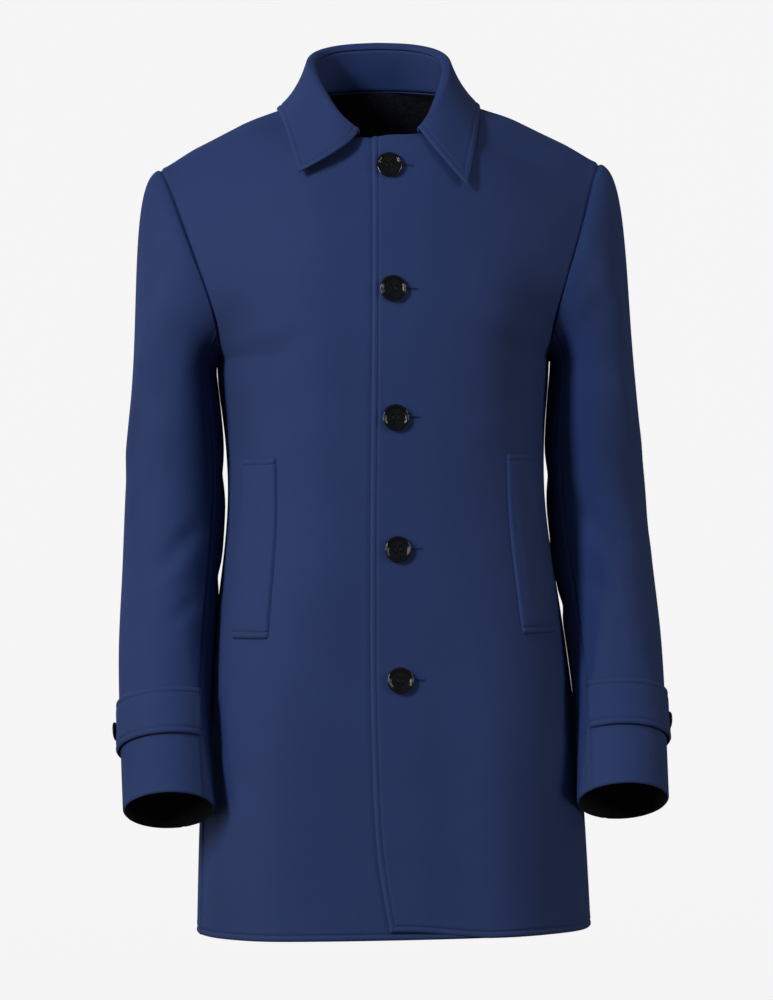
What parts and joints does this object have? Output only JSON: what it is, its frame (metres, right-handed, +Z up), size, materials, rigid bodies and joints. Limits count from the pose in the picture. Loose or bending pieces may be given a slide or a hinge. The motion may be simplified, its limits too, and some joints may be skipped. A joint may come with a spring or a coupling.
{
  "type": "waterproof coat",
  "caption": "Thigh-length single-breasted waterproof coat in worn form, hollow and open at neck, hem and cuffs, with a turn-down collar, welt pockets and buttoned cuff tabs.",
  "frame": {"origin": "middle of the neck at the height of the shoulder seams' inner ends, where the shoulders carry the coat", "axes": "+Z up, -Y out of the front, +X towards the coat's own left side"},
  "size_m": [0.5733, 0.3058, 0.922],
  "materials": {
    "bonded_cloth": "smooth matte bonded cloth, navy",
    "button_plastic": "polished black"
  },
  "bodies": {
    "root": {"front_left": "bonded_cloth", "front_right": "bonded_cloth", "back": "bonded_cloth", "sleeve_top_left": "bonded_cloth", "sleeve_top_right": "bonded_cloth", "sleeve_under_left": "bonded_cloth", "sleeve_under_right": "bonded_cloth", "collar_stand": "bonded_cloth", "collar_fall": "bonded_cloth", "pocket_welt_left": "bonded_cloth", "pocket_welt_right": "bonded_cloth", "cuff_tab_left": "bonded_cloth", "cuff_tab_right": "bonded_cloth", "button_1": "button_plastic", "button_2": "button_plastic", "button_3": "button_plastic", "button_4": "button_plastic", "button_5": "button_plastic", "cuff_button_left": "button_plastic", "cuff_button_right": "button_plastic"}
  },
  "joints": []
}
